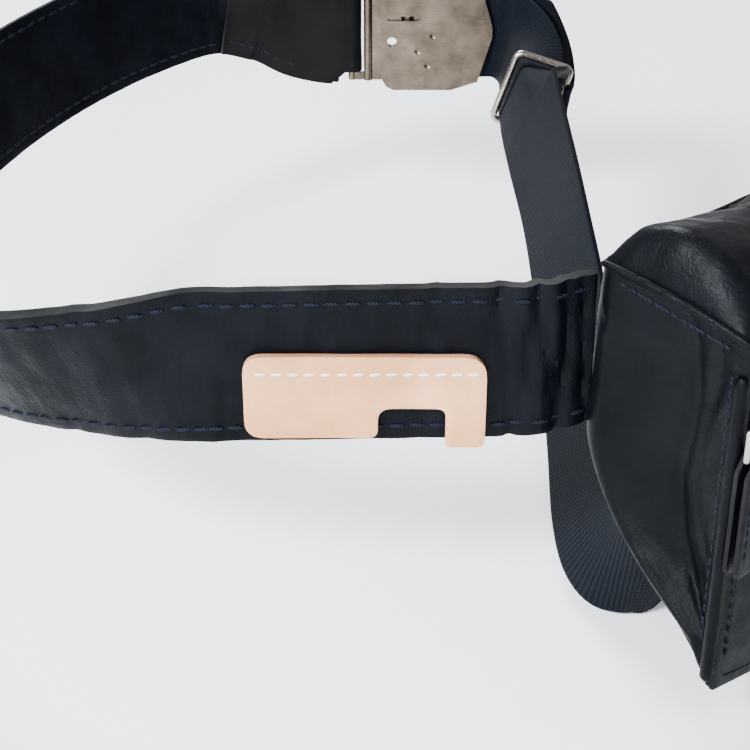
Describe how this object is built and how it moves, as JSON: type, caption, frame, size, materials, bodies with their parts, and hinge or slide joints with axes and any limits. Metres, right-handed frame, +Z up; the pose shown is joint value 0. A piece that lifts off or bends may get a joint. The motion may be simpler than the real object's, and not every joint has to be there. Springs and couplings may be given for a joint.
{
  "type": "waist bag",
  "caption": "Padded black leather hip pouch with zip on a wide stitched belt that closes in a loop with a metal lift-lever buckle and adjustable webbing.",
  "frame": {"origin": "centre of the pouch's flat back, half way between its ends, at the middle of the belt's height", "axes": "+Y out of the pouch's back towards the wearer, +X from the pouch's left end to its right end as its front is looked at, +Z up"},
  "size_m": [0.442, 0.3495, 0.1237],
  "materials": {
    "black_leather": "satin, creased",
    "belt_edge_leather": "matt, raw suede side",
    "tan_leather": "natural vegetable tan, matt",
    "thread_dark": "waxed",
    "thread_white": "waxed",
    "webbing": "ribbed weave",
    "zip_tape": "woven",
    "lining_cloth": "woven",
    "foam": "soft",
    "nickel": "satin nickel",
    "bright_nickel": "polished nickel",
    "zip_metal": "gunmetal"
  },
  "bodies": {
    "bag": {"back_panel": "black_leather", "back_foam": "foam", "lining": "lining_cloth", "top_panel": "black_leather", "front_upper_panel": "black_leather", "front_lower_panel": "black_leather", "bottom_panel": "black_leather", "gusset_left": "black_leather", "gusset_right": "black_leather", "front_welt_left": "black_leather", "front_welt_right": "black_leather", "pouch_thread": "thread_dark", "zip_tape_upper": "zip_tape", "zip_tape_lower": "zip_tape", "zip_teeth_upper": "zip_metal", "zip_teeth_lower": "zip_metal", "zip_stop": "zip_metal", "belt_outer": "black_leather", "belt_inner": "belt_edge_leather", "belt_thread": "thread_dark", "tag_edge": "tan_leather", "tag_thread": "thread_white", "chape": "black_leather", "chape_thread": "thread_dark", "tongue_plate": "nickel", "webbing_lower": "webbing", "tab_outer": "black_leather", "tab_inner": "black_leather", "tab_thread": "thread_dark"},
    "slider": {"zip_slider": "zip_metal"},
    "pull": {"pull_link": "bright_nickel", "leather_pull": "black_leather"},
    "flap": {"tag_flap": "tan_leather"},
    "buckle": {"buckle_base": "nickel", "lever_pin": "bright_nickel", "lever_spring": "bright_nickel", "webbing_bar": "nickel", "webbing_upper": "webbing", "adjuster_ring": "bright_nickel"},
    "lever": {"release_lever": "nickel"}
  },
  "joints": [
    {"name": "zip_slide", "type": "slide", "parent": "bag", "child": "slider", "axis": [1, 0, 0], "range_m": [0, 0.208]},
    {"name": "pull_swing", "type": "hinge", "parent": "slider", "child": "pull", "pos_m": [-0.116, -0.049, -0.002], "axis": [-1, 0, 0], "range_deg": [0, 110]},
    {"name": "tag_bend", "type": "hinge", "parent": "bag", "child": "flap", "pos_m": [-0.16704, 0.03268, -0.0045], "axis": [-0.7314, 0.682, 0], "range_deg": [0, 30], "stiffness_Nm_per_rad": 0.02, "springref_deg": -17.19},
    {"name": "lever_lift", "type": "hinge", "parent": "buckle", "child": "lever", "pos_m": [0.05062, 0.2221, -0.001], "axis": [0, 0, -1], "range_deg": [0, 80], "stiffness_Nm_per_rad": 0.03, "springref_deg": -57.3},
    {"name": "buckle_slide", "type": "slide", "parent": "bag", "child": "buckle", "axis": [0.7314, -0.682, 0], "range_m": [0, 0.028]}
  ],
  "couplings": [
    {"joint": "lever_lift", "follows": "buckle_slide", "rad_per_m": 49.857}
  ]
}
